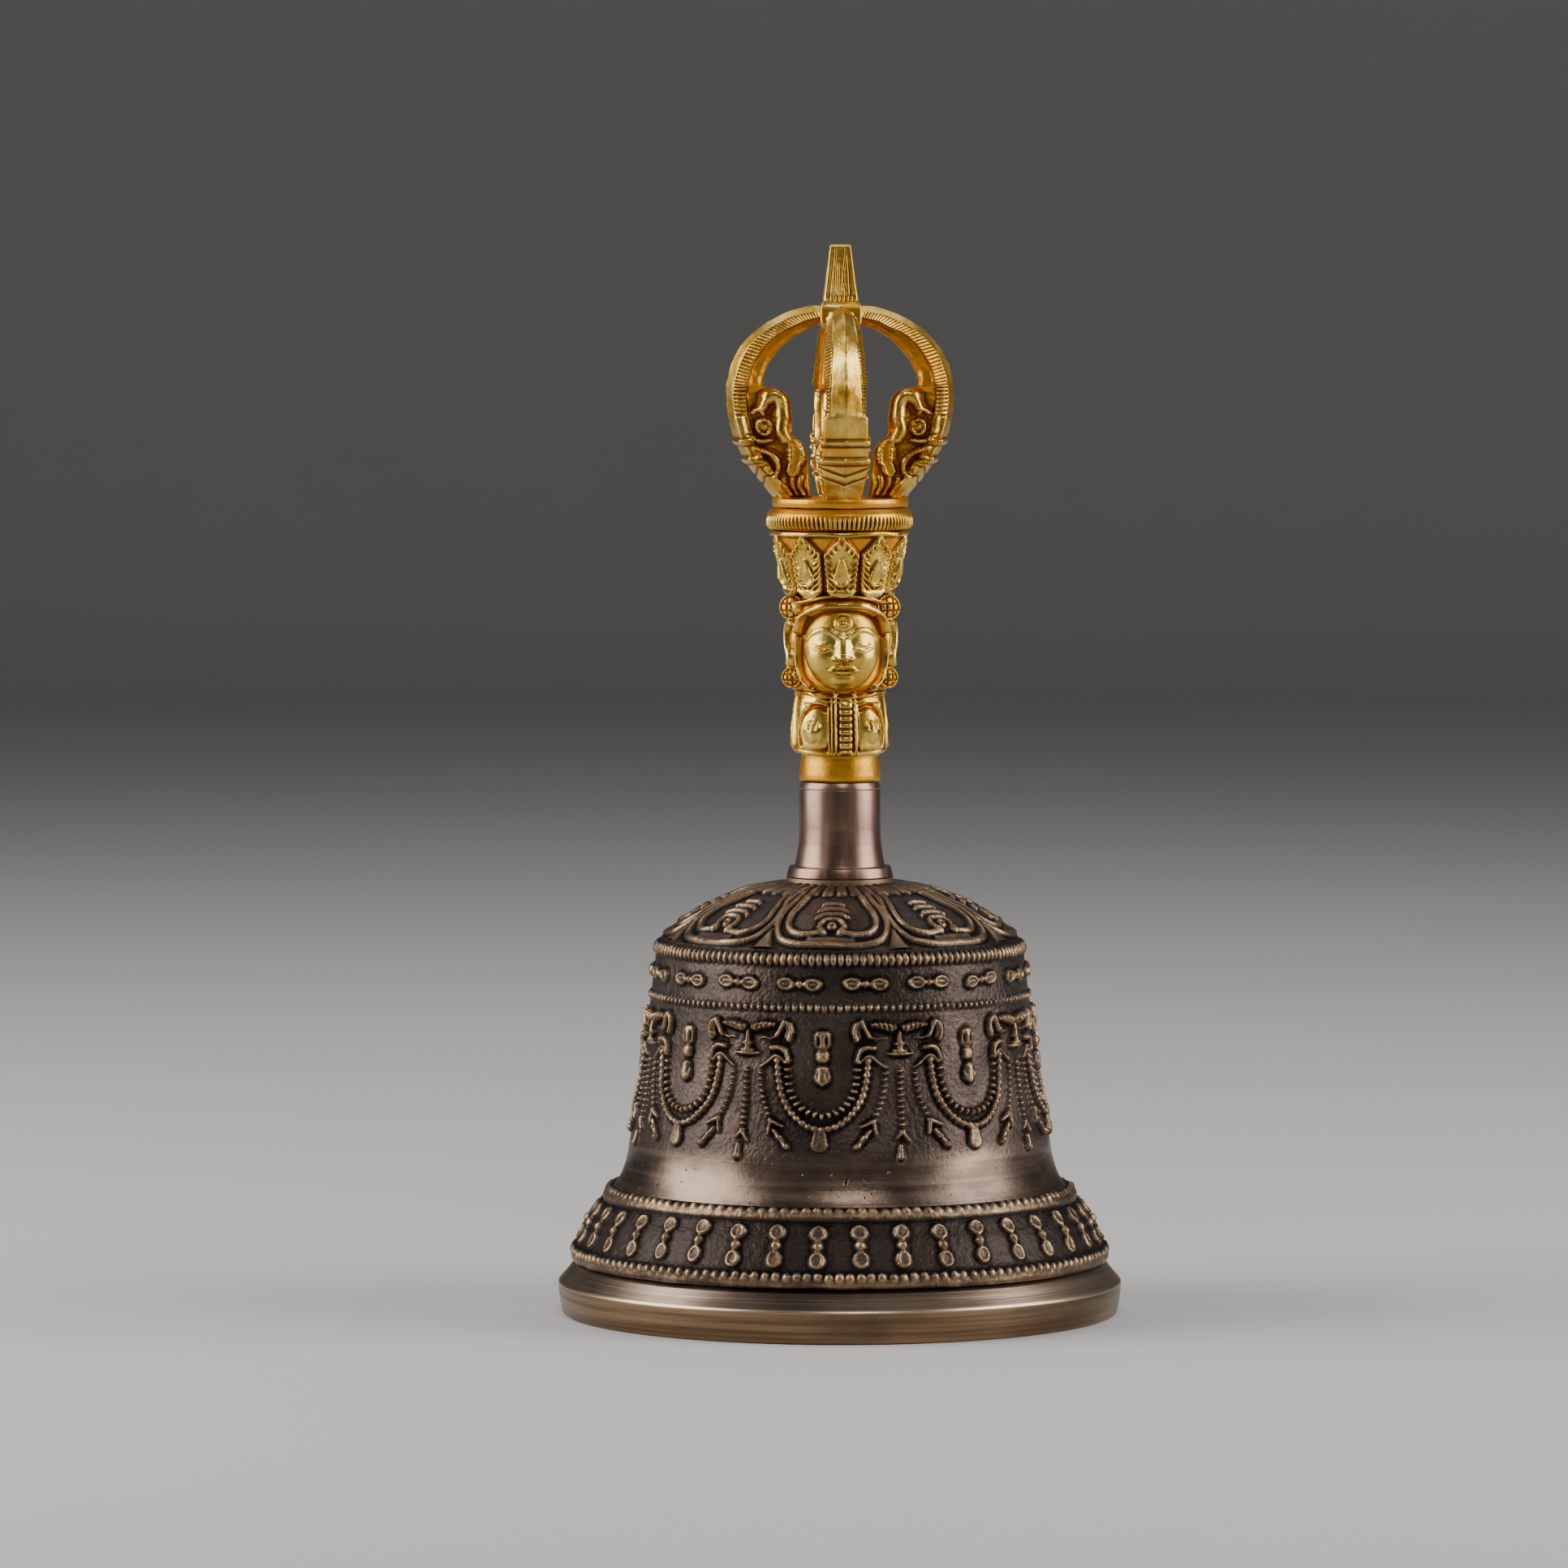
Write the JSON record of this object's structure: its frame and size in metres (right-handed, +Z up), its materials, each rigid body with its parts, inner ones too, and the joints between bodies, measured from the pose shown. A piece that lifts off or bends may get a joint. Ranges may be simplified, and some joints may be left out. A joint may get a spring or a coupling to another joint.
{
  "type": "hand bell",
  "caption": "Prayer hand bell with a relief-cast bell, a turned neck, a gilded deity-head handle, a caged vajra finial and a free-swinging clapper on a ring.",
  "frame": {"origin": "centre of the rim's bottom face, on the bell's axis, where the bell stands", "axes": "+Z up along the bell's axis to the tip of the vajra; the deity's face on the handle looks along -Y; +X to its left hand side as the viewer's right"},
  "size_m": [0.092, 0.092, 0.174],
  "materials": {
    "cast_bronze": "dark cast bell bronze, matt ground with worn brown highlights and a brushed lip",
    "turned_bronze": "turned copper-brown bronze, satin, with fine lengthwise marks",
    "gilt_brass": "hand-filed brass with satin yellow gilding, deeper orange in the recesses",
    "forged_iron": "dark oiled iron",
    "striker_iron": "turned iron, polished where it strikes",
    "pitch": "hard dark pitch"
  },
  "bodies": {
    "bell": {"bell_shell": "cast_bronze", "neck_sleeve": "turned_bronze", "handle_grip": "gilt_brass", "pitch_filling": "pitch", "vajra_seat": "gilt_brass", "centre_prong": "gilt_brass", "prong_right": "gilt_brass", "prong_back": "gilt_brass", "prong_left": "gilt_brass", "prong_front": "gilt_brass", "eye_bolt": "forged_iron", "crown_washer": "forged_iron", "crown_nut": "forged_iron"},
    "link": {"link_ring": "forged_iron"},
    "clapper": {"clapper_rod": "forged_iron", "clapper_striker": "striker_iron"}
  },
  "joints": [
    {"name": "link_swing", "type": "hinge", "parent": "bell", "child": "link", "pos_m": [0, 0, 0.0536], "axis": [1, 0, 0], "range_deg": [-28, 28]},
    {"name": "clapper_swing", "type": "hinge", "parent": "link", "child": "clapper", "pos_m": [0, 0, 0.04925], "axis": [0, 1, 0], "range_deg": [-28, 28]}
  ]
}
